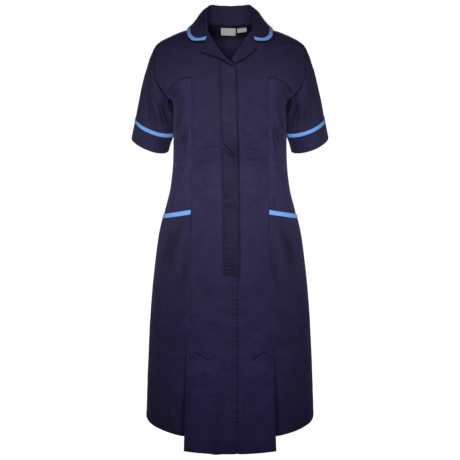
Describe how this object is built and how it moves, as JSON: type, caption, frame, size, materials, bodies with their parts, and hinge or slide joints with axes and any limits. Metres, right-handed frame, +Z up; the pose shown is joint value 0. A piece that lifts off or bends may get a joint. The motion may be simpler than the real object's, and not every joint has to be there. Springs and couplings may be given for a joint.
{
  "type": "nurse uniform dress",
  "caption": "Short-sleeved knee-length work dress with a folded collar, lapels, a hidden front fastening, hip pockets, front kick pleats and contrast tape, hollow as worn.",
  "frame": {"origin": "midway between the two neck points, where the shoulder seams meet the collar", "axes": "+Z up along the wearer, -Y the way the wearer faces, +X towards the wearer's left"},
  "size_m": [0.525, 0.3522, 1.1716],
  "materials": {
    "navy_cloth": "matt navy polyester and cotton twill",
    "blue_tape": "matt light blue woven tape",
    "white_label": "satin white woven label, blank"
  },
  "bodies": {
    "root": {"back": "navy_cloth", "collar": "navy_cloth", "collar_trim": "blue_tape", "cuff_left": "navy_cloth", "cuff_right": "navy_cloth", "front_left": "navy_cloth", "front_right": "navy_cloth", "lapel_left": "navy_cloth", "lapel_right": "navy_cloth", "neck_label": "white_label", "placket": "navy_cloth", "pocket_trim_left": "blue_tape", "pocket_trim_right": "blue_tape", "side_front_left": "navy_cloth", "side_front_right": "navy_cloth", "side_skirt_left": "navy_cloth", "side_skirt_right": "navy_cloth", "size_tab": "white_label", "sleeve_left": "navy_cloth", "sleeve_right": "navy_cloth", "sleeve_trim_left": "blue_tape", "sleeve_trim_right": "blue_tape"}
  },
  "joints": []
}
